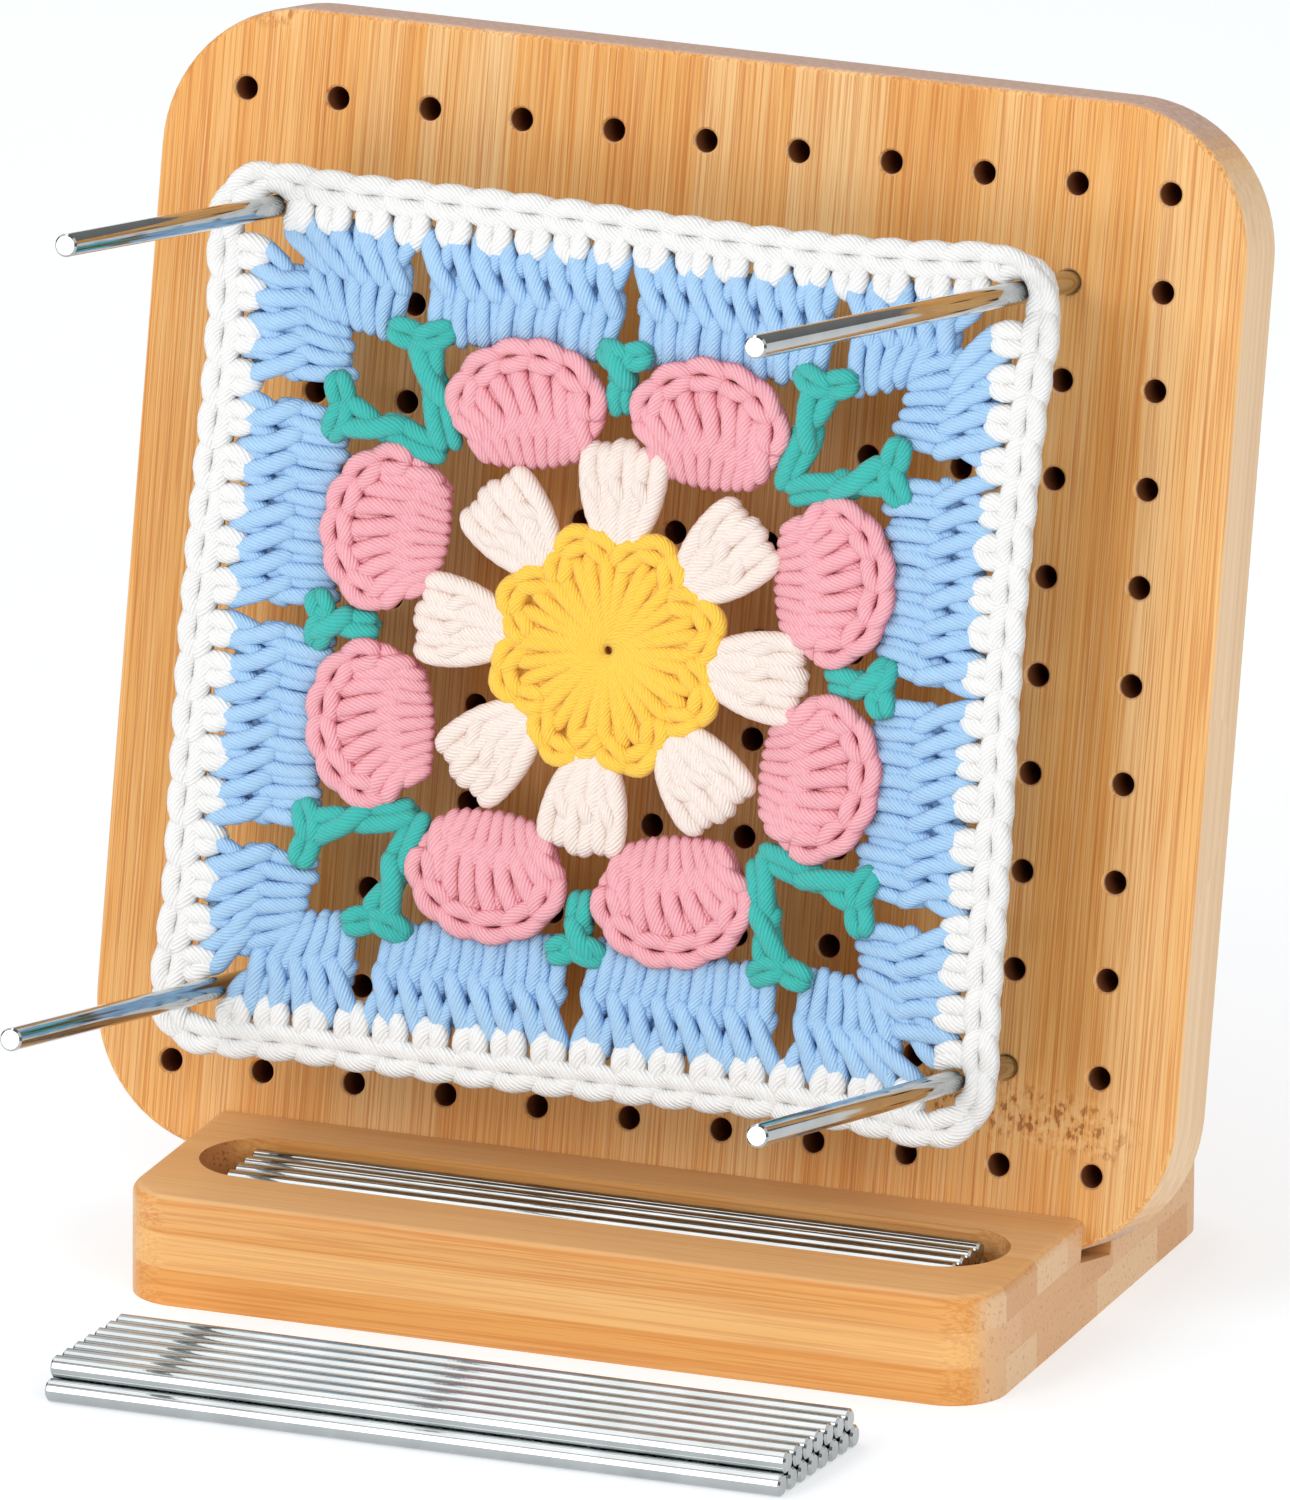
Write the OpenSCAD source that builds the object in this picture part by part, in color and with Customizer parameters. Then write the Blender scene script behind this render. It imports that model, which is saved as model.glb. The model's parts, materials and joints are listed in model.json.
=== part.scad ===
// Crochet blocking board on a slotted stand, with steel rods and a stretched granny square.
// +Z up, +X to the right, +Y to the back. Origin: centre of the stand's underside.

/* [Stand] */
// Width of the stand
stand_w = 160; // [150:1:180]
// Depth of the stand, front to back
stand_d = 112; // [105:1:125]
// Height of the stand
stand_h = 19.6; // [18:0.2:24]
// Radius of the stand's upright corners
stand_corner = 10; // [6:1:14]
// Radius on the stand's top edges
stand_ease = 1.8; // [1:0.2:2.5]
// Backward lean of the slot and of the board in it, in degrees
lean = 11.7; // [6:0.1:14]
// Slot's front lip, behind the stand's centre (negative is in front)
slot_lip_y = -8; // [-10:0.5:-4]
// Depth of the slot at its front lip
slot_depth = 7.3; // [6:0.1:9]

/* [Rod tray] */
// Length of the tray pocket, end to end
tray_len = 148; // [147.6:0.2:149]
// Width of the tray pocket
tray_w = 22; // [22:0.2:23]
// Depth of the tray pocket
tray_depth = 8.2; // [7.8:0.1:9]
// Centre of the pocket, in front of the stand's centre
tray_y = -30; // [-32:0.5:-28]
// Rods lying side by side on the tray's floor
tray_bottom = 5; // [5:1:5]

/* [Board] */
// Side of the square peg board
board_w = 200; // [198:1:206]
// Thickness of the board
board_t = 15; // [14:0.5:18]
// Radius of the board's corners
board_corner = 26; // [16:1:30]
// Radius on the board's long edges
board_ease = 1.2; // [0.6:0.2:2]
// Offset of the board along the slot
board_x = -4.5; // [-8:0.5:8]
// Holes along each side
hole_n = 11; // [5:2:11]
// Distance between holes
hole_pitch = 17; // [16:0.1:17.4]
// Hole diameter
hole_d = 4.16; // [4.12:0.02:4.2]
// Hole depth
hole_depth = 12; // [8:0.5:12.5]

/* [Rods] */
// Rod diameter
rod_d = 4; // [3.9:0.02:4]
// Rod length
rod_len = 134; // [120:1:134]
// Length of the one longer rod, at the upper right
long_rod_len = 167; // [150:1:180]
// Ring of holes that the four holding rods use, counted from the board's middle
hold_ring = 4; // [4:1:4]

/* [Granny square] */
// Side of the crocheted square
square_w = 155; // [153:1:157]
// Thickness of the crocheted fabric
square_t = 4; // [3:0.5:5]
// Middle of the fabric, in front of the board's face
square_lift = 25; // [18:1:40]
// Sideways place of the square's centre on the board
square_x = -1; // [-2:0.5:1]
// Upward place of the square's centre on the board
square_y = -1.5; // [-2:0.5:1]

/* [Rod pile] */
// Rods in the bottom row of the pile in front of the stand
pile_bottom = 8; // [4:1:8]
// Front edge of the pile, in front of the stand's centre
pile_front_y = -112; // [-120:1:-110]
// Sideways place of the front rod's middle
pile_x = -3.6; // [-10:0.1:4]
// Sideways step from one rod to the next
pile_step = 0.35; // [0:0.05:1]

/* [Hidden] */
bamboo = "burlywood";
steel = "silver";
round_fn = 64;      // facets on turned and drilled surfaces
hole_fn = 32;       // facets on the small holes
slot_play = 0.15;   // gap on each side of the board in its slot
rod_gap = 0.06;     // gap between rods that lie against each other
hole_ease = 0.35;   // chamfer at each hole's mouth
rod_ease = 0.4;     // chamfer at each rod's ends
past = 1;           // how far a cutter runs past a face
rod_spacing = rod_d + rod_gap;
// A rod in an upper row rests in the valley between two rods below
row_rise = rod_spacing * sin(60);
// Centre of the board's face, worked out from the slot that the board stands in
board_y = slot_lip_y - slot_depth * tan(lean) + board_w / 2 * sin(lean);
board_z = stand_h - slot_depth + board_w / 2 * cos(lean);
hold_xy = hold_ring * hole_pitch;
// Depth that each holding rod reaches into its hole
seat_ul = 9;
seat_ur = 11;
seat_ll = 11.8;
seat_lr = 10;
// The granny square's rounds, as radii and half sides
yellow_r = 22;
cream_r = 33;
pink_r = 49;
green_half = 52;
blue_half = 68;
round_gap = 0.05;   // gap between one round and the next
corner_space = 3;   // radius of the corner space that a holding rod passes through

// A block with rounded upright corners and rounded top and, if wanted, bottom edges
module eased_block(w, d, h, corner, top, bottom) {
    for (sx = [-1, 1], sy = [-1, 1])
        translate([sx * (w / 2 - corner), sy * (d / 2 - corner), 0])
            rotate_extrude($fn = round_fn) eased_side(corner, h, top, bottom);
    rotate([90, 0, 0]) linear_extrude(d - 2 * corner, center = true)
        eased_face(w / 2, h, top, bottom);
    rotate([90, 0, 90]) linear_extrude(w - 2 * corner, center = true)
        eased_face(d / 2, h, top, bottom);
}

// Half of a section: from the axis out to r, with rounded outer corners
module eased_side(r, h, top, bottom) {
    difference() {
        square([r, h]);
        translate([r - top, h - top]) round_off(top);
        if (bottom > 0) translate([r - bottom, bottom]) mirror([0, 1]) round_off(bottom);
    }
}

// The bit of material that a rounded corner takes away
module round_off(r) {
    difference() {
        square(r + past);
        circle(r, $fn = round_fn);
    }
}

module eased_face(half, h, top, bottom) {
    eased_side(half, h, top, bottom);
    mirror([1, 0]) eased_side(half, h, top, bottom);
}

// Places something on the board: X right, Y up the face, Z out of the face
module on_board() {
    translate([board_x, board_y, board_z]) rotate([90 - lean, 0, 0]) children();
}

module tray_pocket() {
    run = tray_len / 2 - tray_w / 2;
    translate([0, tray_y, stand_h - tray_depth]) {
        for (s = [-1, 1]) translate([s * run, 0, 0]) cylinder(h = tray_depth + past, d = tray_w, $fn = round_fn);
        translate([-run, -tray_w / 2, 0]) cube([2 * run, tray_w, tray_depth + past]);
    }
}

module board_slot() {
    on_board() translate([-stand_w, -board_w / 2 - slot_play, -board_t - slot_play])
        cube([2 * stand_w, board_w, board_t + 2 * slot_play]);
}

module stand_base() {
    color(bamboo) difference() {
        eased_block(stand_w, stand_d, stand_h, stand_corner, stand_ease, 0);
        tray_pocket();
        board_slot();
    }
}

// A blind hole with a small chamfer at its mouth, going down from Z = 0
module peg_hole() {
    r = hole_d / 2;
    rotate_extrude($fn = hole_fn)
        polygon([[0, -hole_depth], [r, -hole_depth], [r, -hole_ease],
                 [r + hole_ease, 0], [r + hole_ease, past], [0, past]]);
}

module peg_board() {
    half = (hole_n - 1) / 2;
    color(bamboo) on_board() difference() {
        translate([0, 0, -board_t])
            eased_block(board_w, board_w, board_t, board_corner, board_ease, board_ease);
        for (i = [-half:half], j = [-half:half])
            translate([i * hole_pitch, j * hole_pitch, 0]) peg_hole();
    }
}

// A steel rod standing on Z = 0, with a small chamfer at each end
module rod(len) {
    r = rod_d / 2;
    color(steel) rotate_extrude($fn = round_fn)
        polygon([[0, 0], [r - rod_ease, 0], [r, rod_ease],
                 [r, len - rod_ease], [r - rod_ease, len], [0, len]]);
}

// A rod lying along X, its middle at the origin
module lying_rod() {
    rotate([0, 90, 0]) translate([0, 0, -rod_len / 2]) rod(rod_len);
}

module hold_rod(sx, sy, seat, len) {
    on_board() translate([sx * hold_xy, sy * hold_xy, -seat]) rod(len);
}

// Rod i of a row in the tray, counted from the front; row 0 lies on the tray's floor
module tray_rod(i, row) {
    n = i - (tray_bottom + 1) / 2 + row / 2;
    translate([0, tray_y + n * rod_spacing, stand_h - tray_depth + rod_d / 2 + rod_gap + row * row_rise])
        lying_rod();
}

// Rod i of a row of the pile, counted from the front; row 0 lies on the table
module pile_rod(i, row) {
    n = i - 1 + row / 2;
    translate([pile_x + n * pile_step, pile_front_y + rod_d / 2 + n * rod_spacing,
               rod_d / 2 + row * row_rise])
        lying_rod();
}

// Places a round of the granny square, and cuts the corner spaces for the rods
module square_round(shade) {
    color(shade) on_board() difference() {
        translate([square_x, square_y, square_lift - square_t / 2]) linear_extrude(square_t) children();
        for (sx = [-1, 1], sy = [-1, 1])
            translate([sx * hold_xy, sy * hold_xy, 0])
                cylinder(h = square_lift + square_t, r = corner_space, $fn = hole_fn);
    }
}

module rounded_square(half, corner) {
    for (sx = [-1, 1], sy = [-1, 1])
        translate([sx * (half - corner), sy * (half - corner)]) circle(corner, $fn = round_fn);
    square([2 * half, 2 * (half - corner)], center = true);
    square([2 * (half - corner), 2 * half], center = true);
}

module ring(outer, inner) {
    difference() {
        circle(outer - round_gap, $fn = round_fn);
        circle(inner, $fn = round_fn);
    }
}

module yellow_centre() {
    square_round("gold") circle(yellow_r - round_gap, $fn = round_fn);
}

module cream_clusters() {
    square_round("linen") ring(cream_r, yellow_r);
}

module pink_fans() {
    square_round("pink") ring(pink_r, cream_r);
}

module green_stitches() {
    square_round("mediumturquoise") difference() {
        rounded_square(green_half - round_gap, 6);
        circle(pink_r, $fn = round_fn);
    }
}

module blue_blocks() {
    square_round("lightskyblue") difference() {
        rounded_square(blue_half - round_gap, 14);
        rounded_square(green_half, 6);
    }
}

module white_border() {
    square_round("white") difference() {
        rounded_square(square_w / 2, 10);
        rounded_square(blue_half, 14);
    }
}

stand_base();
peg_board();
yellow_centre();
cream_clusters();
pink_fans();
green_stitches();
blue_blocks();
white_border();
hold_rod(-1, 1, seat_ul, rod_len);  // hold_rod_upper_left
hold_rod(1, 1, seat_ur, long_rod_len);  // hold_rod_upper_right
hold_rod(-1, -1, seat_ll, rod_len);  // hold_rod_lower_left
hold_rod(1, -1, seat_lr, rod_len);  // hold_rod_lower_right
tray_rod(1, 0);  // tray_lower_1
tray_rod(2, 0);  // tray_lower_2
tray_rod(3, 0);  // tray_lower_3
tray_rod(4, 0);  // tray_lower_4
tray_rod(5, 0);  // tray_lower_5
tray_rod(1, 1);  // tray_upper_1
tray_rod(2, 1);  // tray_upper_2
tray_rod(3, 1);  // tray_upper_3
tray_rod(4, 1);  // tray_upper_4
pile_rod(1, 0);  // pile_lower_1
pile_rod(2, 0);  // pile_lower_2
pile_rod(3, 0);  // pile_lower_3
pile_rod(4, 0);  // pile_lower_4
pile_rod(5, 0);  // pile_lower_5
pile_rod(6, 0);  // pile_lower_6
pile_rod(7, 0);  // pile_lower_7
pile_rod(8, 0);  // pile_lower_8
pile_rod(1, 1);  // pile_upper_1
pile_rod(2, 1);  // pile_upper_2
pile_rod(3, 1);  // pile_upper_3
pile_rod(4, 1);  // pile_upper_4
pile_rod(5, 1);  // pile_upper_5
pile_rod(6, 1);  // pile_upper_6
pile_rod(7, 1);  // pile_upper_7
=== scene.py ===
"""Looks of a crochet blocking board: bamboo board and stand, steel rods and a crocheted granny square."""
import json
import math

import bpy
import numpy as np
from mathutils import Euler, Matrix, Vector


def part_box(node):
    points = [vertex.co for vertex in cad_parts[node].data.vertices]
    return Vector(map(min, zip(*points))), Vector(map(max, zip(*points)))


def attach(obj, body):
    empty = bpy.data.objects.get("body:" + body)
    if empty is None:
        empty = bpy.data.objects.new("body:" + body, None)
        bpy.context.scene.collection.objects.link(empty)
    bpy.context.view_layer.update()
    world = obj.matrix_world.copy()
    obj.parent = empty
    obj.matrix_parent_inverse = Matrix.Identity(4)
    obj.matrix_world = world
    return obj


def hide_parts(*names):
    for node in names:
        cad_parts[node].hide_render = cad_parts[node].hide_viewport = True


MM = 0.001
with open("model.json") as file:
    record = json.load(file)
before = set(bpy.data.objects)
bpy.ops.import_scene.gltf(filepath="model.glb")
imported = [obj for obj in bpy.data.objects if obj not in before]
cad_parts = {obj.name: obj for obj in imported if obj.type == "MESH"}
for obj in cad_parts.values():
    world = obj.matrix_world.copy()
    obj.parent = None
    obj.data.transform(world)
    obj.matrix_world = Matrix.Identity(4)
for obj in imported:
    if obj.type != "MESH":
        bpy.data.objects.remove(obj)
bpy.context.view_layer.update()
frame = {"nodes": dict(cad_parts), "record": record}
rng = np.random.default_rng(7)

# ---------------------------------------------------------------- places, from the frame

record = frame["record"]
joints = {j["name"]: j for j in record["behaviour"]["joints"]}
OUT = Vector(joints["square_slide"]["axis"])    # out of the board's face
UP = Vector(joints["board_lift"]["axis"])       # up the board's face
RIGHT = Vector((1, 0, 0))
LEAN = math.atan2(OUT.z, -OUT.y)                # how far the board leans back
HOLE_POINT = 6 * MM                             # the mounts' points lie this far behind the face


def centre(node):
    """The middle of a CAD node's box."""
    low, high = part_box(node)
    return (Vector(low) + Vector(high)) / 2


def board_face():
    """The middle of the board's face: the mount holes give the face's height, the board's box its sides."""
    mounts = {m["name"]: m for m in record["mounts"]}
    left = Vector(mounts["corner_hole_upper_left"]["pos_m"])
    right = Vector(mounts["corner_hole_upper_right"]["pos_m"])
    depth = ((left + right) / 2 - centre("peg_board")).dot(OUT)
    return centre("peg_board") + OUT * (depth + HOLE_POINT)


FACE = board_face()
SQUARE = centre("white_border")                 # the middle of the granny square


# ---------------------------------------------------------------- camera

def make_camera():
    """A long lens a few metres away, a little to the right of the board and above it."""
    azimuth, elevation, roll = (math.radians(a) for a in (20.8, 17.76, 0.374))
    target = Vector((3.6, -20.75, 98.9)) * MM
    distance = 5.261
    data = bpy.data.cameras.new("camera")
    data.sensor_width = 36
    data.lens = 736.6
    data.clip_end = 50
    turn = Euler((math.pi / 2 - elevation, 0, azimuth)).to_matrix() @ Matrix.Rotation(roll, 3, "Z")
    camera = bpy.data.objects.new("camera", data)
    camera.matrix_world = Matrix.Translation(target + turn @ Vector((0, 0, distance))) @ turn.to_4x4()
    bpy.context.collection.objects.link(camera)
    bpy.context.scene.camera = camera


make_camera()


# ---------------------------------------------------------------- materials

class Shader:
    """A material's node tree, built call by call."""

    def __init__(self, name):
        self.material = bpy.data.materials.new(name)
        self.material.use_nodes = True
        self.tree = self.material.node_tree
        self.surface = self.tree.nodes["Principled BSDF"]

    def node(self, kind, inputs=(), **settings):
        """Adds a node; an input is a number, a colour or another node's output."""
        made = self.tree.nodes.new(kind)
        for key, value in settings.items():
            setattr(made, key, value)
        for key, value in dict(inputs).items():
            self.feed(made.inputs[key], value)
        return made

    def feed(self, socket, value):
        if isinstance(value, bpy.types.NodeSocket):
            self.tree.links.new(value, socket)
        elif value is not None:
            socket.default_value = value

    def set(self, **values):
        """Sets the surface's own sockets; an underscore stands for a space in their names."""
        for key, value in values.items():
            self.feed(self.surface.inputs[key.replace("_", " ")], value)

    def math(self, operation, a, b=None):
        return self.node("ShaderNodeMath", {0: a, 1: b}, operation=operation).outputs[0]

    def times(self, a, b):
        return self.math("MULTIPLY", a, b)

    def plus(self, a, b):
        return self.math("ADD", a, b)

    def noise(self, vector, scale=1.0, detail=3.0, rough=0.5):
        inputs = {"Vector": vector, "Scale": scale, "Detail": detail, "Roughness": rough}
        return self.node("ShaderNodeTexNoise", inputs).outputs["Fac"]

    def random(self, x, y=0.0):
        """A number from 0 to 1 for each pair of whole numbers."""
        return self.node("ShaderNodeTexWhiteNoise", {"Vector": self.join(x, y, 0.0)},
                         noise_dimensions="2D").outputs["Value"]

    def step(self, value, low, high):
        """0 below low, 1 above high, and a smooth rise between."""
        made = self.node("ShaderNodeMapRange", {"Value": value, "From Min": low, "From Max": high},
                         interpolation_type="SMOOTHSTEP")
        return made.outputs["Result"]

    def ramp(self, factor, *stops):
        """A colour ramp; each stop is (position, colour)."""
        made = self.node("ShaderNodeValToRGB", {"Fac": factor})
        elements = made.color_ramp.elements
        while len(elements) < len(stops):
            elements.new(0.5)
        for element, (position, colour) in zip(elements, stops):
            element.position = position
            element.color = (*colour[:3], 1)
        return made.outputs["Color"]

    def mix(self, factor, a, b):
        """Colour a at factor 0 and colour b at factor 1."""
        made = self.node("ShaderNodeMix", data_type="RGBA")
        for index, value in ((0, factor), (6, a), (7, b)):
            self.feed(made.inputs[index], (*value, 1) if isinstance(value, tuple) else value)
        return made.outputs[2]

    def bump(self, height, strength, distance):
        made = self.node("ShaderNodeBump", {"Height": height, "Strength": strength, "Distance": distance})
        self.feed(self.surface.inputs["Normal"], made.outputs["Normal"])

    def local(self, origin, lean):
        """Metres from a point, turned to lie along the board's face: x right, y up it, z out."""
        place = self.node("ShaderNodeTexCoord").outputs["Object"]
        made = self.node("ShaderNodeMapping", {"Vector": place, "Location": origin,
                                               "Rotation": (lean, 0, 0)}, vector_type="TEXTURE")
        return made.outputs["Vector"]

    def facing(self, way):
        """1 on faces that look along the direction or against it, 0 elsewhere."""
        normal = self.node("ShaderNodeNewGeometry").outputs["True Normal"]
        along = self.node("ShaderNodeVectorMath", {0: normal, 1: tuple(way)}, operation="DOT_PRODUCT")
        return self.step(self.math("ABSOLUTE", along.outputs["Value"]), 0.6, 0.9)

    def split(self, vector):
        return self.node("ShaderNodeSeparateXYZ", {"Vector": vector}).outputs

    def join(self, x, y, z):
        return self.node("ShaderNodeCombineXYZ", {"X": x, "Y": y, "Z": z}).outputs[0]


def srgb(*rgb):
    """A colour given as 0 to 255 display values, as linear light."""
    return tuple((c / 255 / 12.92) if c < 11 else ((c / 255 + 0.055) / 1.055) ** 2.4 for c in rgb)


CREAM = srgb(240, 200, 142)
HONEY = srgb(232, 170, 94)
TAN = srgb(218, 148, 74)
BROWN = srgb(196, 112, 40)
FLECK = srgb(150, 82, 34)
# The next colour is painted shade for the inside of the drilled holes, not the wood's own colour
HOLE_SHADE = srgb(140, 78, 36)


# Where growth nodes cross the board: x and y from the middle of its face, and half their width
GROWTH_NODES = ((66 * MM, -67 * MM, 30 * MM), (-88 * MM, 92 * MM, 14 * MM), (-60 * MM, -30 * MM, 12 * MM))
STRIP = 17 * MM          # width of one bamboo strip of the board
HOLES_WITHIN = 92 * MM   # all holes, and none of the board's edge, lie this near the middle in x and y
STAVE = 15 * MM          # width of one strip of the stand
LAYER = 6.54 * MM        # thickness of one of the stand's three layers


def grain(s, across, along, other):
    """Long fibres: the place drawn out 200 times along the grain."""
    return s.join(s.times(across, 1600), s.times(along, 8), s.times(other, 1600))


def growth(s, colour, place, drift):
    """Growth nodes: short bands across the grain, broken into dark and pale flecks."""
    x, y, z = s.split(place)
    flecks = s.noise(s.join(s.times(x, 620), s.times(s.plus(y, s.times(drift, 2)), 330), z), 1, 2, 0.7)
    for node_x, node_y, half in GROWTH_NODES:
        aside = s.step(s.math("ABSOLUTE", s.plus(x, -node_x)), half, half * 0.6)
        slant = s.plus(y, s.times(x, 0.12))
        high = s.step(s.math("ABSOLUTE", s.plus(slant, -node_y)), 7 * MM, 2 * MM)
        band = s.times(aside, high)
        colour = s.mix(s.times(s.times(band, s.step(flecks, 0.50, 0.42)), 0.50), colour, CREAM)
        colour = s.mix(s.times(s.times(band, s.step(flecks, 0.54, 0.62)), 0.75), colour, FLECK)
    return colour


def in_holes(s, place):
    """1 inside the drilled holes, where the painted shade goes, and 0 on the board's face, back and edges.
    """
    x, y, z = s.split(place)
    within = [s.step(s.math("ABSOLUTE", a), HOLES_WITHIN, HOLES_WITHIN - MM) for a in (x, y)]
    deep_shade = s.times(s.step(z, -0.3 * MM, -1.5 * MM), s.step(z, -14.9 * MM, -14.5 * MM))
    return s.times(s.times(*within), deep_shade)


def bamboo_board():
    """Narrow strips side by side, with the grain up the board and growth nodes across a few of them."""
    s = Shader("bamboo_board")
    place = s.local(FACE, math.pi / 2 - LEAN)
    x, y, z = s.split(place)
    drift = s.times(s.noise(place, 14, 2), 3 * MM)
    strip = s.math("FLOOR", s.math("DIVIDE", s.plus(x, drift), STRIP))
    tone = s.random(strip)
    shifted = s.plus(y, s.times(tone, 3.0))
    fibres = grain(s, s.plus(x, s.times(drift, 0.3)), shifted, z)
    soft = s.noise(s.join(s.times(x, 110), s.times(shifted, 4), z), 1, 3)
    shade = s.plus(s.times(tone, 0.18), s.times(soft, 0.46))
    colour = s.ramp(shade, (0.16, TAN), (0.32, HONEY), (0.50, CREAM))
    # Fine dark veins and paler fibres between them
    veins = s.step(s.noise(fibres, 1.35, 2, 0.6), 0.48, 0.62)
    colour = s.mix(s.times(veins, 0.50), colour, BROWN)
    pale = s.step(s.noise(fibres, 1.7, 2, 0.6), 0.50, 0.62)
    colour = s.mix(s.times(pale, 0.50), colour, CREAM)
    hair = s.noise(s.join(s.times(x, 3000), s.times(shifted, 26), s.times(z, 3000)), 1, 2, 0.6)
    colour = s.mix(s.times(s.step(hair, 0.50, 0.62), 0.50), colour, BROWN)
    colour = growth(s, colour, place, drift)
    # The cut ends of the fibres show on the top edge, and a plain strip on the two sides
    ends = s.ramp(s.noise(s.join(s.times(x, 900), s.times(y, 900), s.times(z, 900)), 1, 3),
                  (0.3, srgb(186, 150, 132)), (0.7, srgb(212, 180, 160)))
    colour = s.mix(s.facing(UP), colour, ends)
    side = s.ramp(s.noise(fibres, 0.5, 3), (0.3, srgb(226, 188, 146)), (0.7, srgb(240, 208, 168)))
    colour = s.mix(s.facing(RIGHT), colour, side)
    # Painted shade: inside the drilled holes the wood is darkened to a deep brown, standing in for the shade
    # deep in them
    colour = s.mix(s.times(in_holes(s, place), 0.95), colour, HOLE_SHADE)
    s.set(Base_Color=colour, Roughness=s.plus(0.46, s.times(hair, 0.16)), Specular_IOR_Level=0.3)
    s.bump(s.plus(hair, s.times(veins, -0.4)), 0.18, 0.2 * MM)
    return s.material


def cut_ends(s, place, tone):
    """Ends of the strips, pale and varied block by block, with pores; browner inside the tray pocket."""
    x = s.split(place)[0]
    pores = s.step(s.noise(place, 1100, 2, 0.7), 0.56, 0.68)
    ends = s.ramp(tone, (0.1, srgb(214, 164, 116)), (0.5, srgb(222, 176, 130)), (0.9, srgb(228, 190, 148)))
    ends = s.mix(s.times(pores, 0.45), ends, srgb(160, 100, 58))
    pocket = s.step(s.math("ABSOLUTE", x), 77 * MM, 75.5 * MM)
    brown = s.ramp(pores, (0.0, srgb(206, 140, 84)), (1.0, srgb(150, 88, 46)))
    return s.mix(pocket, ends, brown)


def bamboo_stand():
    """Three glued layers with the grain along X; the ends show a chequer of cut strips."""
    s = Shader("bamboo_stand")
    place = s.node("ShaderNodeTexCoord").outputs["Object"]
    x, y, z = s.split(place)
    layer = s.math("FLOOR", s.math("DIVIDE", z, LAYER))
    drift = s.times(s.noise(place, 9, 2), 2 * MM)
    row = s.math("FLOOR", s.math("DIVIDE", s.plus(y, s.plus(drift, s.times(layer, STAVE / 2))), STAVE))
    tone = s.random(row, layer)
    shifted = s.plus(x, s.times(tone, 2.0))
    fibres = grain(s, s.plus(y, z), shifted, s.times(z, 0.4))
    soft = s.noise(s.join(s.times(shifted, 5), s.times(y, 90), s.times(z, 160)), 1, 3)
    shade = s.plus(s.times(tone, 0.30), s.times(soft, 0.62))
    colour = s.ramp(shade, (0.22, TAN), (0.48, HONEY), (0.78, CREAM))
    veins = s.step(s.noise(fibres, 0.7, 2, 0.6), 0.50, 0.64)
    colour = s.mix(s.times(veins, 0.36), colour, BROWN)
    hair = s.noise(s.join(s.times(shifted, 28), s.times(y, 2200), s.times(z, 2200)), 1, 2, 0.6)
    colour = s.mix(s.times(s.step(hair, 0.48, 0.60), 0.42), colour, BROWN)
    # The middle layer is the palest, and a thin line of glue runs between the layers
    outer = s.math("ABSOLUTE", s.math("SUBTRACT", layer, 1.0))
    colour = s.mix(s.times(outer, 0.34), colour, srgb(212, 138, 68))
    colour = s.mix(s.times(s.math("SUBTRACT", 1.0, outer), 0.30), colour, CREAM)
    seam = s.step(s.math("FRACT", s.math("DIVIDE", z, LAYER)), 0.05, 0.0)
    colour = s.mix(s.times(seam, 0.35), colour, BROWN)
    # Painted light: faces that look up are lightened to a paler tone, as if more light fell on them from
    # above
    colour = s.mix(s.times(s.facing((0, 0, 1)), 0.34), colour, srgb(238, 204, 156))
    colour = s.mix(s.facing(RIGHT), colour, cut_ends(s, place, tone))
    s.set(Base_Color=colour, Roughness=s.plus(0.44, s.times(hair, 0.16)), Specular_IOR_Level=0.3)
    s.bump(s.plus(hair, s.times(veins, -0.4)), 0.15, 0.2 * MM)
    return s.material


def steel():
    """Polished rod: faint lengthwise drawing marks and a little tarnish."""
    s = Shader("steel")
    place = s.node("ShaderNodeTexCoord").outputs["Object"]
    marks = s.noise(place, 900, 3)
    cloud = s.noise(place, 90, 3)
    s.set(Base_Color=s.ramp(cloud, (0.3, (0.39, 0.41, 0.41)), (0.7, (0.49, 0.51, 0.51))),
          Metallic=1.0, Roughness=s.plus(0.03, s.times(cloud, 0.08)))
    s.bump(marks, 0.05, 0.1 * MM)
    return s.material


SINGLES = 3              # fine lines in each ply


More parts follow.
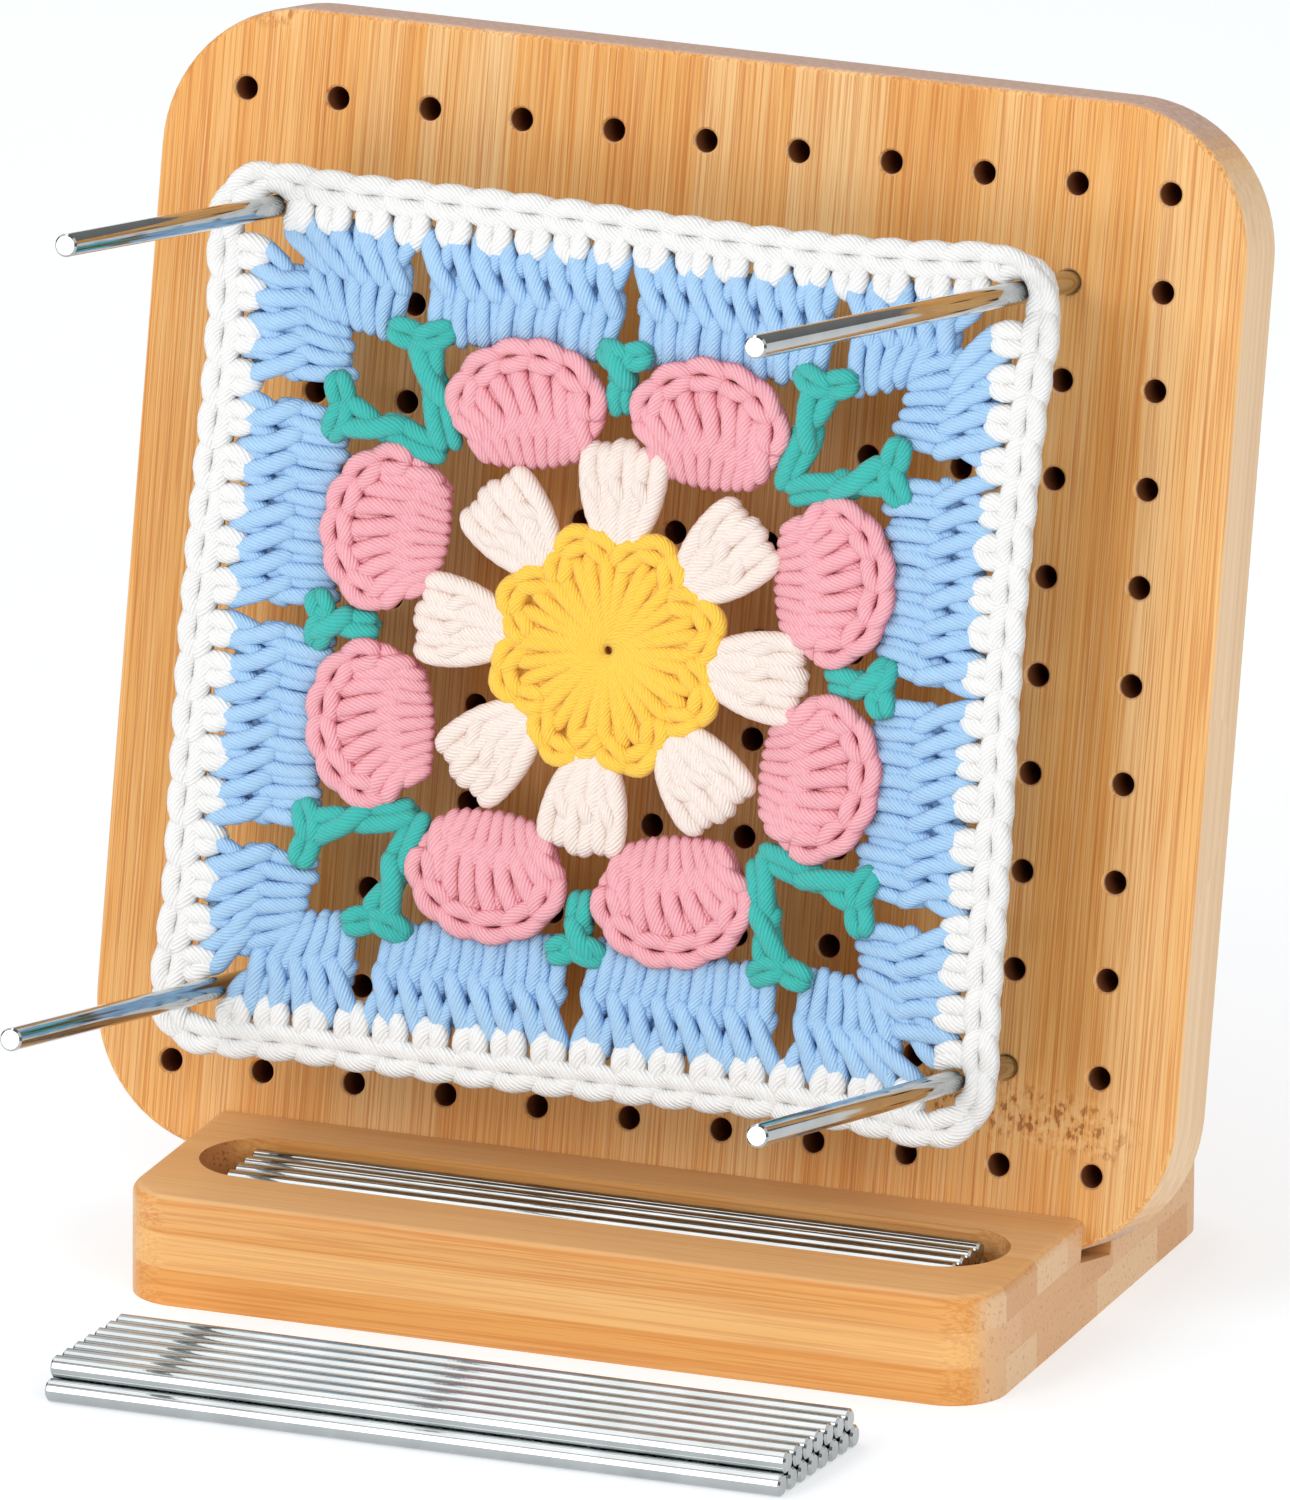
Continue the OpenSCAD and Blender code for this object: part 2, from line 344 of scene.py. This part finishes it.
def yarn(name, light, deep_shade):
    """Soft plied cotton: fine slanting lines between the plies, with painted shade that deepens the colour
    in them and on the strands' sides that face away from the front.
    """
    s = Shader(name)
    turn, run, ridge = s.split(s.node("ShaderNodeAttribute", attribute_name="ply",
                                      attribute_type="GEOMETRY").outputs["Vector"])
    place = s.node("ShaderNodeTexCoord").outputs["Object"]
    singles = s.plus(0.5, s.times(s.math("SINE", s.times(turn, 2 * math.pi * SINGLES)), 0.5))
    fibre = s.noise(s.join(s.times(turn, 9), s.times(run, 500), 0.0), 1, 3, 0.6)
    fuzz = s.noise(place, 2200, 2)
    cloud = s.noise(place, 70, 2)
    normal = s.node("ShaderNodeNewGeometry").outputs["Normal"]
    dot = s.node("ShaderNodeVectorMath", {0: normal, 1: tuple(OUT)}, operation="DOT_PRODUCT")
    out = dot.outputs["Value"]
    # Painted shade: the colour turns to the deep tone in the ply grooves and on sides facing away from the
    # board's front, and to the light tone on sides facing out; the cloud term is the yarn's own uneven tone
    level = s.plus(s.plus(s.times(singles, 0.34), s.times(ridge, 0.06)), s.times(cloud, 0.20))
    level = s.plus(level, s.times(s.step(out, 0.05, 0.85), 0.42))
    s.set(Base_Color=s.ramp(level, (0.18, deep_shade), (0.72, light)),
          Roughness=0.9, Specular_IOR_Level=0.2, Sheen_Weight=0.2, Sheen_Roughness=0.6)
    relief = s.plus(s.times(singles, 0.9), s.plus(s.times(fibre, 0.5), s.times(fuzz, 0.5)))
    s.bump(relief, 0.75, 0.25 * MM)
    return s.material


def dress(material, *nodes):
    """Gives CAD nodes a material."""
    for name in nodes:
        thing = frame["nodes"][name]
        thing.data.materials.clear()
        thing.data.materials.append(material)


dress(bamboo_board(), "peg_board")
dress(bamboo_stand(), "stand_base")
rod_nodes = [name for name in frame["nodes"] if "rod" in name or name.startswith(("tray_", "pile_"))]
dress(steel(), *rod_nodes)


# ---------------------------------------------------------------- yarn

YARN = 1.5               # radius of the yarn, mm
SIDES = 14               # points round the yarn
STEP = 1.0               # distance between rings, mm
END = 0.5                # a strand's ends draw in to this share of its radius
PLIES = 4
PLY_TURN = 10.0          # length of one turn of the plies, mm
SHIFT = (-1.2, -0.6)     # the outer rounds lie this far off the flower's middle, mm
ROD_PLAY = 0.15          # room left between a strand and a rod, mm
RODS = [n for n in frame["nodes"] if n.startswith("hold_rod")]


def rod_spots():
    """Where the holding rods pass through the fabric, in its own x and y, mm, and the rods' radius."""
    spots = []
    for name in RODS:
        low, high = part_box(name)
        away = centre(name) - SQUARE
        spots.append((away.dot(RIGHT) / MM, away.dot(UP) / MM))
    return np.array(spots), (high[0] - low[0]) / 2 / MM


ROD_SPOTS, ROD_RADIUS = rod_spots()


def smooth(points, step=STEP):
    """A Catmull-Rom curve through the points, cut into equal steps."""
    p = np.asarray(points, float)
    p = np.vstack([2 * p[0] - p[1], p, 2 * p[-1] - p[-2]])
    t = np.linspace(0, 1, 9)[:-1, None]
    curve = []
    for a, b, c, d in zip(p, p[1:], p[2:], p[3:]):
        curve.append(0.5 * (2 * b + (c - a) * t + (2 * a - 5 * b + 4 * c - d) * t ** 2
                            + (3 * b - a - 3 * c + d) * t ** 3))
    curve = np.vstack([*curve, p[-2]])
    length = np.r_[0, np.cumsum(np.linalg.norm(np.diff(curve, axis=0), axis=1))]
    n = max(4, int(round(length[-1] / step)) + 1)
    want = np.linspace(0, length[-1], n)
    return np.stack([np.interp(want, length, curve[:, k]) for k in range(3)], 1), want


def round_rods(path, radius):
    """Leads a strand's path round one side of each holding rod that passes through the fabric."""
    least = ROD_RADIUS + radius * 1.02 + ROD_PLAY
    for spot in ROD_SPOTS:
        away = path[:, :2] - spot
        far = np.linalg.norm(away, axis=1)
        if far.min() >= least:
            continue
        closest = int(np.argmin(far))
        ahead = path[min(closest + 1, len(path) - 1), :2] - path[max(closest - 1, 0), :2]
        ahead /= np.linalg.norm(ahead)
        aside = np.array([-ahead[1], ahead[0]])
        aside *= 1 if away[closest].dot(aside) >= 0 else -1
        near = far < least
        along = away[near].dot(ahead)
        sideways = np.maximum(away[near].dot(aside), np.sqrt(np.maximum(least ** 2 - along ** 2, 0)))
        path[near, :2] = spot + along[:, None] * ahead + sideways[:, None] * aside


def cross_axes(path):
    """Two axes across the path at each of its points, carried along it without a twist."""
    ahead = np.gradient(path, axis=0)
    ahead /= np.linalg.norm(ahead, axis=1)[:, None]
    side = np.zeros_like(path)
    first = np.cross(ahead[0], (0.31, 0.17, 0.93))
    side[0] = first / np.linalg.norm(first)
    for i in range(1, len(path)):
        s = side[i - 1] - ahead[i] * side[i - 1].dot(ahead[i])
        side[i] = s / np.linalg.norm(s)
    return side, np.cross(ahead, side)


class Skein:
    """Collects the strands of one yarn and makes them one mesh."""

    def __init__(self, shift=(0, 0)):
        self.shift = np.array(shift)
        self.points, self.faces, self.ply = [], [], []
        self.count = 0

    def strand(self, points, radius=YARN, foot=1.0, step=STEP):
        """A plied strand through the points; foot is its first end's share of the radius."""
        path, along = smooth(points, step)
        path[:, :2] += self.shift
        round_rods(path, radius)
        radius = radius * np.interp(along / along[-1], (0, 0.6), (foot, 1))
        side, other = cross_axes(path)
        turn = 2 * math.pi * np.arange(SIDES + 1) / SIDES
        near = np.minimum(along, along[-1] - along) / (1.5 * radius)
        swell = END + (1 - END) * np.sqrt(1 - (1 - np.clip(near, 0, 1)) ** 2)
        twist = rng.random() * 2 * math.pi + 2 * math.pi * along / PLY_TURN
        phase = PLIES * (turn[None] - twist[:, None]) / (2 * math.pi)
        ridge = 0.5 + 0.5 * np.cos(2 * math.pi * phase)
        reach = (radius * swell)[:, None] * (0.95 + 0.06 * ridge)
        ring = (path[:, None] + side[:, None] * (np.cos(turn)[None, :, None] * reach[..., None])
                + other[:, None] * (np.sin(turn)[None, :, None] * reach[..., None]))
        self.points += [ring[:, :SIDES].reshape(-1, 3), path[:1], path[-1:]]
        level = np.stack([phase, np.broadcast_to(along[:, None] * MM, phase.shape), ridge], -1)
        self.skin(level)

    def skin(self, level):
        """Faces over the rings just added and a fan at each end; level gives the ply at each point."""
        n = len(level)
        base = self.count
        i, k = (a.ravel() for a in np.meshgrid(np.arange(n - 1), np.arange(SIDES), indexing="ij"))
        q = (k + 1) % SIDES
        low, high = base + i * SIDES, base + (i + 1) * SIDES
        self.faces += np.stack([low + k, low + q, high + q, high + k], -1).tolist()
        corners = [level[i, k], level[i, k + 1], level[i + 1, k + 1], level[i + 1, k]]
        self.ply.append(np.stack(corners, 1).reshape(-1, 3))
        tips = base + n * SIDES
        last = base + (n - 1) * SIDES
        for k in range(SIDES):
            q = (k + 1) % SIDES
            self.faces.append([tips, base + q, base + k])
            self.faces.append([tips + 1, last + k, last + q])
            self.ply.append(np.array([level[0, k], level[0, k + 1], level[0, k],
                                      level[-1, k], level[-1, k], level[-1, k + 1]]))
        self.count += n * SIDES + 2

    def lay(self, place, *spots, r=YARN, foot=1.0):
        """A strand through spots given in a stitch's own frame."""
        self.strand([place.at(*spot) for spot in spots], r, foot)

    def piece(self, name, node, material):
        """The strands as one piece that stands for a CAD node, laid on the granny square's place."""
        points = np.vstack(self.points) * MM
        mesh = bpy.data.meshes.new(name)
        mesh.from_pydata((points @ np.array([RIGHT, UP, OUT]) + np.array(SQUARE)).tolist(), [], self.faces)
        ply = mesh.attributes.new("ply", "FLOAT_VECTOR", "CORNER")
        ply.data.foreach_set("vector", np.vstack(self.ply).ravel())
        mesh.shade_smooth()
        mesh.materials.append(material)
        made = bpy.data.objects.new(name, mesh)
        bpy.context.collection.objects.link(made)
        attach(made, "granny_square")
        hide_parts(node)
        return made


class Place:
    """A stitch's own frame in the fabric: base point, direction up the stitch, and to its right."""

    def __init__(self, base, top):
        self.base = np.asarray(base, float)
        self.up = np.asarray(top, float) - self.base
        self.height = float(np.linalg.norm(self.up))
        self.up /= self.height
        self.right = np.array([self.up[1], -self.up[0]])

    def at(self, x, y, z):
        """x mm to the right, y as a share of the stitch's height, z mm out of the fabric."""
        xy = self.base + self.right * x + self.up * (y * self.height)
        return [xy[0], xy[1], z]


def jitter(amount):
    """A random number between minus the amount and the amount."""
    return (rng.random() - 0.5) * 2 * amount


def polar(radius, angle):
    """The point at a distance from the middle, at an angle from the line to its right."""
    return np.array([math.cos(angle), math.sin(angle)]) * radius


def turned(point, quarter):
    """A point turned round the square's middle by quarter turns."""
    x, y = point
    for _ in range(quarter):
        x, y = -y, x
    return np.array([x, y])


def double_crochet(skein, base, top, wide=1.0, z=0.0, r=YARN):
    """Two legs side by side, and above them the slanting leaf that the hook pulled through."""
    p = Place(base, top)

    def lay(r, *spots):
        skein.lay(p, *((x * wide + jitter(0.28), y + jitter(0.025), z + out) for x, y, out in spots),
                  r=r * (1 + jitter(0.06)))

    lay(r, (-1.0, -0.03, -0.6), (-1.2, 0.22, 0.6), (-0.7, 0.46, 0.6), (0.4, 0.66, -0.6))
    lay(r * 0.95, (1.2, 0.0, -1.2), (1.3, 0.24, 0.1), (1.6, 0.46, -0.1), (1.2, 0.66, -1.0))
    lay(r * 1.12, (-2.3, 1.02, -0.6), (-1.7, 0.88, 1.1), (-0.4, 0.68, 1.8), (1.2, 0.50, 1.1),
        (2.1, 0.39, -0.8))
    lay(r, (1.9, 1.03, -0.4), (1.9, 0.88, 1.0), (1.1, 0.72, 0.9), (-0.9, 0.56, 0.2), (-1.9, 0.46, -0.9))


def chain(skein, points, link, r=YARN, wide=1.3, z=0.0, closed=False):
    """A chain of V-shaped links along a line: each link has two legs that start under the link before."""
    path, along = smooth([[*q, 0] for q in points], 0.4)
    count = max(1, int(round(along[-1] / link)))
    link = along[-1] / count
    path = path[:, :2]
    ahead = np.gradient(path, axis=0)
    ahead /= np.linalg.norm(ahead, axis=1)[:, None]

    def at(s, x, out):
        s = s % along[-1] if closed else min(max(s, 0), along[-1])
        spot = [np.interp(s, along, path[:, k]) for k in (0, 1)]
        way = [np.interp(s, along, ahead[:, k]) for k in (0, 1)]
        return [spot[0] + way[1] * x, spot[1] - way[0] * x, z + out]

    for i in range(count):
        s = i * link + jitter(0.2)
        for f in (-1, 1):
            skein.strand([at(s - 0.25 * link, 0.1 * f, -1.6), at(s + 0.05 * link, 0.7 * f * wide, -0.4),
                          at(s + 0.55 * link, 1.2 * f * wide, 0.8), at(s + 1.0 * link, 0.8 * f * wide, 0.9),
                          at(s + 1.3 * link, 0.1 * f, -0.5)], r)


BEHIND = -1.5            # how far behind the stitches their backs lie, mm


def backs(skein, lines, r=1.7):
    """Strands behind the stitches, which close the gaps between them."""
    for line in lines:
        skein.strand([[*spot, BEHIND] for spot in line], r, step=2 * STEP)


# ---------------------------------------------------------------- the granny square, round by round

PETALS = 8
TURN = 2 * math.pi / PETALS
FLOWER_TURN = math.radians(-2)      # the flower sits slightly turned in the square


def yellow_centre():
    """Sixteen stitches out of one ring, with eight small arches round them."""
    skein = Skein()
    posts = 2 * PETALS
    for i in range(posts):
        a = FLOWER_TURN + (i + 0.5) * 2 * math.pi / posts + jitter(0.03)
        p = Place(polar(0.8, a), polar(17.5, a))
        for f in (-1, 1):
            skein.lay(p, (0, 0, 0.2), (0.7 * f, 0.3, 0.8), (1.3 * f, 0.6, 1.3), (1.6 * f, 0.85, 1.0),
                      (0.8 * f, 1.06, -0.6))
        skein.lay(p, (-0.2, 0.5, -0.2), (0, 0.75, 0.2), (0.2, 1.0, -0.2))
    for k in range(PETALS):
        a = FLOWER_TURN + (k + 0.5) * TURN
        arch = [polar(15.0, a - 0.36), polar(18.3, a - 0.20), polar(19.8, a), polar(18.3, a + 0.20),
                polar(15.0, a + 0.36)]
        chain(skein, arch, 5.6, z=0.6, wide=1.2)
    rings = [[polar(r, a) for a in np.linspace(0, 2 * math.pi, 24)] for r in (3, 6, 9, 12, 15, 17.8)]
    backs(skein, rings, 2.2)
    return skein


def cream_clusters():
    """Eight clusters of three stitches, drawn to a point inside and full outside."""
    skein = Skein()
    for k in range(PETALS):
        a = FLOWER_TURN + k * TURN + jitter(0.02)
        p = Place(polar(15.6, a), polar(36.0 + jitter(0.6), a + jitter(0.03)))
        for i in (-1, 1, 0):
            near = 0.0 if i else 0.3
            for f in (-1, 1):
                skein.lay(p, (0.5 * i + 0.3 * f, 0.0, -0.8), (2.5 * i + 1.0 * f, 0.24, 0.7 + near),
                          (4.2 * i + 1.5 * f, 0.52, 1.1 + near), (4.9 * i + 1.5 * f, 0.82, 1.0 + near),
                          (4.6 * i + 0.6 * f, 1.0 - 0.05 * abs(i), -0.4 + near), r=YARN * 1.22)
            skein.lay(p, (3.6 * i - 2.4, 0.78, 0.0), (4.2 * i - 0.8, 0.62, 2.3 + near),
                      (4.0 * i + 1.6, 0.44, 0.6), r=YARN * 0.95)
        spread = (-1.6, -0.8, 0, 0.8, 1.6)
        backs(skein, [[p.at(3.2 * i * y, y, 0)[:2] for y in (0.15, 0.5, 0.92)] for i in spread])
    return skein


FAN_POSTS = 9
FAN_WIDE, FAN_DEEP = 12.0, 9.2       # half-width and depth of a fan's edge chain, mm
FAN_OUT, FAN_ASIDE = 40.3, 17.0      # a fan's middle: out from the square's middle, and to one side
FAN_FOOT, FAN_IN = 7.9, 9.8          # half-width of a fan's foot, and how far inwards of the middle it lies
FAN_SPREAD, FAN_RIM = 92, 97         # degrees from the middle line to the last stitch and the chain's end


def pink_fans():
    """Eight round shells: stitches spread from a narrower foot, with an edge chain round their tops."""
    skein = Skein(SHIFT)
    for k in range(PETALS):
        side = k // 2
        hand = 1 if k % 2 else -1
        middle = turned((FAN_ASIDE * hand + jitter(0.4), FAN_OUT + jitter(0.5)), side)
        lean = -0.10 * hand + jitter(0.04)
        out = turned((-math.sin(lean), math.cos(lean)), side)
        aside = np.array([out[1], -out[0]])

        def spot(angle, size, middle=middle, out=out, aside=aside):
            """A point at an angle from the fan's middle line, on the edge chain's ellipse scaled by size."""
            across = aside * (math.sin(angle) * FAN_WIDE * size)
            return middle + across + out * (math.cos(angle) * FAN_DEEP * size)

        heart = middle - out * FAN_IN
        for i in range(FAN_POSTS):
            q = (i - (FAN_POSTS - 1) / 2) / ((FAN_POSTS - 1) / 2)
            foot = heart + aside * (q * FAN_FOOT) + out * (0.7 * q * q)
            head = spot(q * math.radians(FAN_SPREAD), 0.96)
            p = Place(foot, head)
            j = jitter(0.3)
            skein.lay(p, (0, -0.05, -0.6), (-0.3, 0.2, 0.7), (-0.4 + j, 0.45, 0.9), (0.6, 0.66, -0.4),
                      foot=0.85)
            skein.lay(p, (-1.9, 1.0, 0.2), (-1.4, 0.84, 1.4), (j, 0.62, 1.8), (0.9, 0.40, 0.8),
                      (0.9, 0.2, -0.6), r=YARN * 1.15)
            skein.lay(p, (1.5, 1.0, 0.0), (1.7, 0.82, 0.9), (1.2, 0.62, 0.4), (0.4, 0.42, -0.8))
            backs(skein, [[foot, (foot + head) / 2, head]])
        rim = [spot(math.radians(a), 1.0) for a in np.linspace(-FAN_RIM, FAN_RIM, 13)]
        chain(skein, rim, 6.2, z=1.4, wide=1.4, r=YARN * 1.04)
    return skein


def green_stitches():
    """One stitch between each pair of fans: a short one mid-side, and two spread from each corner."""
    skein = Skein(SHIFT)

    def stalk(foot, head, bar, thick=1.12):
        """A stitch with a short bar of chain across its top; bar gives the points along the bar."""
        double_crochet(skein, foot, head, wide=0.85 * thick, z=0.7, r=YARN * thick)
        chain(skein, bar, 5.5, z=1.2, wide=1.1)
        backs(skein, [[foot, head], bar], 1.5)

    for side in range(4):
        bar = [turned((x, 51.0 + 0.3 * abs(x)), side) for x in (-4.2, 0, 4.2)]
        stalk(turned((0, 41.5), side), turned((-0.3, 53), side), bar, 1.1)
        for swap in (False, True):
            ends = [(31.2, 31.8), (36.2 + jitter(0.5), 50.5)]
            bar = [(32.0, 52.4), (36.4, 50.4), (42.0, 51.6)]
            if swap:
                ends, bar = [(y, x) for x, y in ends], [(y, x) for x, y in bar]
            stalk(turned(ends[0], side), turned(ends[1], side), [turned(b, side) for b in bar])
    return skein


INNER, OUTER = 50.0, 69.5      # the blue round's inner and outer edge, mm from the square's middle
BLOCK_POSTS = 8
BLOCK_ASIDE = 19.2             # from the middle of a side to the middles of its two blocks


def blue_blocks():
    """Two blocks a side, and a spread shell at each corner, open in its middle for the rod."""
    skein = Skein(SHIFT)
    for side in range(4):
        for middle in (-BLOCK_ASIDE, BLOCK_ASIDE):
            for i in range(BLOCK_POSTS):
                q = (i - (BLOCK_POSTS - 1) / 2) / ((BLOCK_POSTS - 1) / 2)
                foot = (middle + 14.2 * q, INNER + jitter(0.5))
                head = (middle + 15.9 * q + jitter(0.5), OUTER + jitter(0.4))
                double_crochet(skein, turned(foot, side), turned(head, side))
            for y in np.arange(52.5, 69, 3.4):
                backs(skein, [[turned((middle + x, y), side) for x in (-14.5, 0, 14.5)]])
        for i in range(5):
            foot = (43.6 + 2.3 * i, 49.8 + 0.7 * i)
            head = (42.6 + 4.7 * i, OUTER - 0.25 * i)
            for swap in (False, True):
                ends = [q[::-1] if swap else q for q in (foot, head)]
                double_crochet(skein, *(turned(q, side) for q in ends), wide=1.05)
        for swap in (False, True):
            for y, reach in ((53, 55), (56, 57), (59, 58.5), (62, 59.5), (65, 60.5), (67.5, 61)):
                row = [(41.5, y), ((41.5 + reach) / 2, y), (reach, y)]
                backs(skein, [[turned(q[::-1] if swap else q, side) for q in row]])
    return skein


EDGE = 73.6                     # the middle of the edge chain, mm from the square's middle
EDGE_LINK = 7.3                 # spacing of the edge stitches
CORNER = 8.0                    # radius of the rounded corners
CORNER_OUT = 1.1                # how much further out the edge lies at the corners
EDGE_POSTS = 18                 # short stitches along one side
EDGE_FOOT, EDGE_HEAD = 66.8, 71.8       # where a short stitch starts and ends, from the middle


def white_border():
    """Short stitches into the blue round, with a smooth chain round the edge."""
    skein = Skein(SHIFT)
    outline = []
    for side in range(4):
        for q in np.linspace(-1, 1, 11):
            wave = 0.45 * math.sin(3.7 * q + 1.3 * side) + CORNER_OUT * q ** 6
            outline.append(turned((-q * (EDGE - CORNER), EDGE + wave), side))
        bend = EDGE + CORNER_OUT - CORNER
        for t in (0.5, 0.78, 1.06):
            outline.append(turned((-bend - CORNER * math.sin(t), bend + CORNER * math.cos(t)), side))
    outline.append(outline[0])
    chain(skein, outline, EDGE_LINK, r=YARN * 1.22, wide=1.45, z=0.6, closed=True)
    backs(skein, [outline], 2.2)
    for side in range(4):
        for i in range(EDGE_POSTS):
            x = (i - (EDGE_POSTS - 1) / 2) * EDGE_LINK + jitter(0.3)
            foot = turned((x + jitter(0.4), EDGE_FOOT + jitter(0.6)), side)
            p = Place(foot, turned((x, EDGE_HEAD), side))
            for f in (-1, 1):
                skein.lay(p, (0.8 * f, 1.15, -0.4), (1.4 * f, 0.85, 1.0), (1.5 * f, 0.45, 1.4),
                          (0.9 * f, 0.12, 0.9), (0.2 * f, -0.12, -0.8), r=YARN * 1.25)
    return skein


def granny_square():
    """The six rounds, each made as one piece that stands for its CAD node."""
    # Each round: its stitches, piece name, CAD node, the yarn's lit tone and its painted-shade tone
    rounds = (
        (yellow_centre, "crochet_yellow", "yellow_centre", srgb(255, 210, 78), srgb(240, 166, 24)),
        (cream_clusters, "crochet_cream", "cream_clusters", srgb(248, 235, 226), srgb(230, 192, 174)),
        (pink_fans, "crochet_pink", "pink_fans", srgb(247, 180, 188), srgb(208, 84, 106)),
        (green_stitches, "crochet_green", "green_stitches", srgb(62, 190, 180), srgb(14, 136, 130)),
        (blue_blocks, "crochet_blue", "blue_blocks", srgb(174, 211, 243), srgb(104, 160, 218)),
        (white_border, "crochet_white", "white_border", srgb(245, 244, 242), srgb(206, 203, 200)),
    )
    pieces = {}
    for stitch, name, node, light, deep_shade in rounds:
        material = yarn(name.replace("crochet", "yarn"), light, deep_shade)
        pieces[name] = stitch().piece(name, node, material)
    main = pieces.pop("crochet_blue")


granny_square()


# ---------------------------------------------------------------- studio

def make_floor():
    """White paper lit from within, so that shadows on it stay faint."""
    s = Shader("floor")
    place = s.node("ShaderNodeTexCoord").outputs["Object"]
    paper = s.ramp(s.noise(place, 4, 2), (0.0, (0.58, 0.61, 0.64)), (1.0, (0.62, 0.65, 0.68)))
    s.set(Base_Color=paper,
          Roughness=0.9, Specular_IOR_Level=0.1, Emission_Color=(1, 1, 1, 1), Emission_Strength=0.46)
    mesh = bpy.data.meshes.new("floor")
    half = 6.0
    corners = [(-half, -half, 0), (half, -half, 0), (half, half, 0), (-half, half, 0)]
    mesh.from_pydata(corners, [], [(0, 1, 2, 3)])
    mesh.materials.append(s.material)
    floor = bpy.data.objects.new("floor", mesh)
    bpy.context.collection.objects.link(floor)


def area_light(name, place, aim, size, power):
    """A rectangular light at a place, turned to face its aim; size in metres, power in watts."""
    data = bpy.data.lights.new(name, "AREA")
    data.shape = "RECTANGLE"
    data.size, data.size_y = size
    data.energy = power
    lamp = bpy.data.objects.new(name, data)
    lamp.location = place
    lamp.rotation_euler = (Vector(aim) - Vector(place)).to_track_quat("-Z", "Y").to_euler()
    bpy.context.collection.objects.link(lamp)


# The sky's brightness at each height, given as the sine of its elevation
SKY = ((0.0, 0.20), (0.36, 0.26), (0.46, 1.0), (0.84, 1.05), (0.90, 0.22))


def make_world():
    """A dim room with a bright band halfway up it, which gives the steel rods something to reflect."""
    world = bpy.data.worlds.new("studio")
    world.use_nodes = True
    tree = world.node_tree
    where = tree.nodes.new("ShaderNodeTexCoord")
    axes = tree.nodes.new("ShaderNodeSeparateXYZ")
    ramp = tree.nodes.new("ShaderNodeValToRGB")
    tree.links.new(where.outputs["Generated"], axes.inputs[0])
    tree.links.new(axes.outputs["Z"], ramp.inputs["Fac"])
    tree.links.new(ramp.outputs["Color"], tree.nodes["Background"].inputs["Color"])
    elements = ramp.color_ramp.elements
    while len(elements) < len(SKY):
        elements.new(0.5)
    for element, (height, level) in zip(elements, SKY):
        element.position = height
        element.color = (level, level, level, 1)
    tree.nodes["Background"].inputs["Strength"].default_value = 1.0
    bpy.context.scene.world = world


make_floor()
make_world()
middle = Vector((0, 0, 0.1))
area_light("key", (-0.8, -1.5, 1.1), middle, (0.9, 0.9), 7.4)
area_light("fill", (1.3, -1.3, 0.8), middle, (0.9, 0.9), 8)
area_light("card", (-0.50, -1.5, 0.24), middle, (0.6, 0.45), 4)
area_light("overhead", (-0.42, -0.1, 1.2), middle, (1.0, 0.34), 1.9)
bpy.context.scene.view_settings.view_transform = "Standard"
